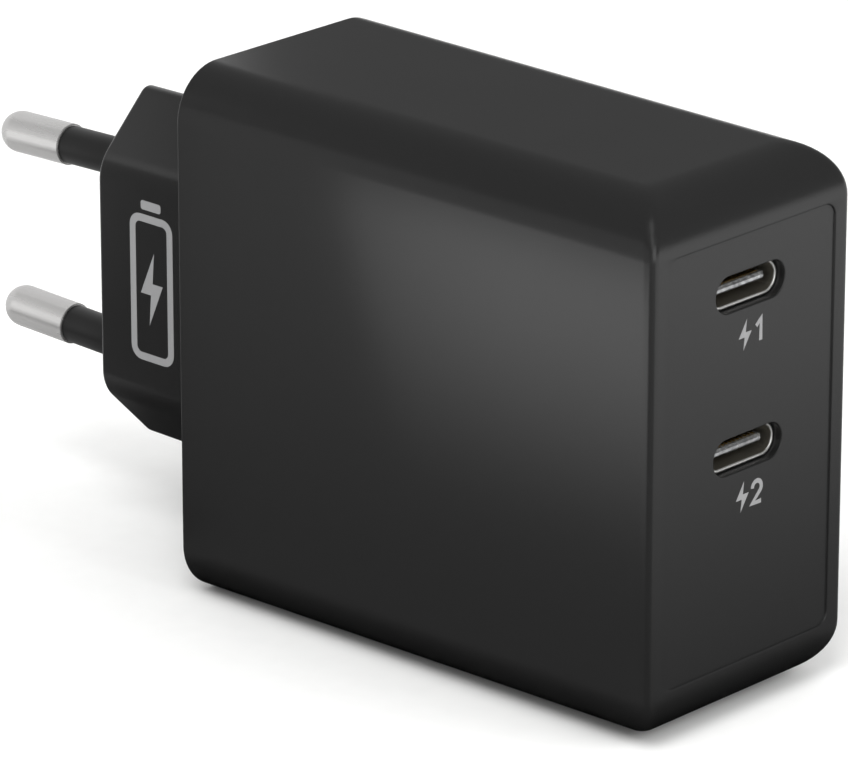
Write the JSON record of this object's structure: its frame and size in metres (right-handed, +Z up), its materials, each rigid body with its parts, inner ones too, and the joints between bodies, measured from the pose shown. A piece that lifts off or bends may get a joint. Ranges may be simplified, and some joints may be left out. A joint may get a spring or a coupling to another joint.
{
  "type": "usb wall charger",
  "caption": "Mains charger: a flat rounded box with a round-pin plug on a faceted nose at one end and USB-C sockets in a sunk panel at the other.",
  "frame": {"origin": "middle of the plug's pin face, half way between the two pins", "axes": "+X from the plug towards the sockets, +Y across the charger's thickness, +Z up with the charger on its narrow side"},
  "size_m": [0.0931, 0.0274, 0.0508],
  "materials": {
    "housing_plastic": "fine satin moulded PC/ABS, charcoal",
    "sleeve_plastic": "moulded polyamide, black",
    "pin_metal": "nickel-plated brass, satin",
    "contact_strip": "phosphor bronze strip",
    "board_laminate": "green solder mask on glass epoxy",
    "header_plastic": "black moulded nylon",
    "tinned_metal": "tinned pins",
    "socket_steel": "drawn stainless steel",
    "socket_resin": "black liquid-crystal polymer",
    "terminal_gold": "gold-plated terminals",
    "ferrite": "ground ferrite",
    "bobbin_plastic": "black phenolic",
    "copper_wire": "enamelled copper wire",
    "tape": "yellow polyester tape",
    "bulk_can": "dark shrink sleeve on an aluminium can",
    "polymer_can": "bare aluminium can",
    "fuse_case": "brown moulded case",
    "disc_green": "green epoxy dip",
    "disc_blue": "blue epoxy dip",
    "film_case": "yellow moulded case",
    "ring_coat": "green epoxy coat",
    "chip_resin": "black epoxy moulding compound",
    "moulded_inductor": "pressed iron powder",
    "chip_capacitor": "fired ceramic",
    "spreader_metal": "mill-finish sheet",
    "thermal_silicone": "soft silicone pad",
    "film_sheet": "amber polyester film"
  },
  "bodies": {
    "root": {"housing": "housing_plastic", "plug_cover": "housing_plastic", "upper_pin": "pin_metal", "lower_pin": "pin_metal", "upper_pin_sleeve": "sleeve_plastic", "lower_pin_sleeve": "sleeve_plastic", "upper_pin_contact": "contact_strip", "lower_pin_contact": "contact_strip", "main_board": "board_laminate", "output_board": "board_laminate", "header_strip": "header_plastic", "header_pins": "tinned_metal", "upper_socket_shell": "socket_steel", "lower_socket_shell": "socket_steel", "upper_socket_tongue": "socket_resin", "lower_socket_tongue": "socket_resin", "upper_socket_contacts": "terminal_gold", "lower_socket_contacts": "terminal_gold", "transformer_core": "ferrite", "transformer_bobbin": "bobbin_plastic", "transformer_winding": "copper_wire", "transformer_tape": "tape", "transformer_pins": "tinned_metal", "bulk_capacitors": "bulk_can", "output_capacitors": "polymer_can", "fuse": "fuse_case", "thermistor": "disc_green", "x_capacitor": "film_case", "y_capacitor": "disc_blue", "choke_core": "ring_coat", "choke_windings": "copper_wire", "choke_base": "header_plastic", "bridge_rectifier": "chip_resin", "optocoupler": "chip_resin", "primary_controller": "chip_resin", "primary_switch": "chip_resin", "sync_rectifier": "chip_resin", "port_inductors": "moulded_inductor", "port_controllers": "chip_resin", "port_capacitors": "chip_capacitor", "heat_spreader": "spreader_metal", "thermal_pad": "thermal_silicone", "insulating_sheet": "film_sheet"}
  },
  "joints": []
}
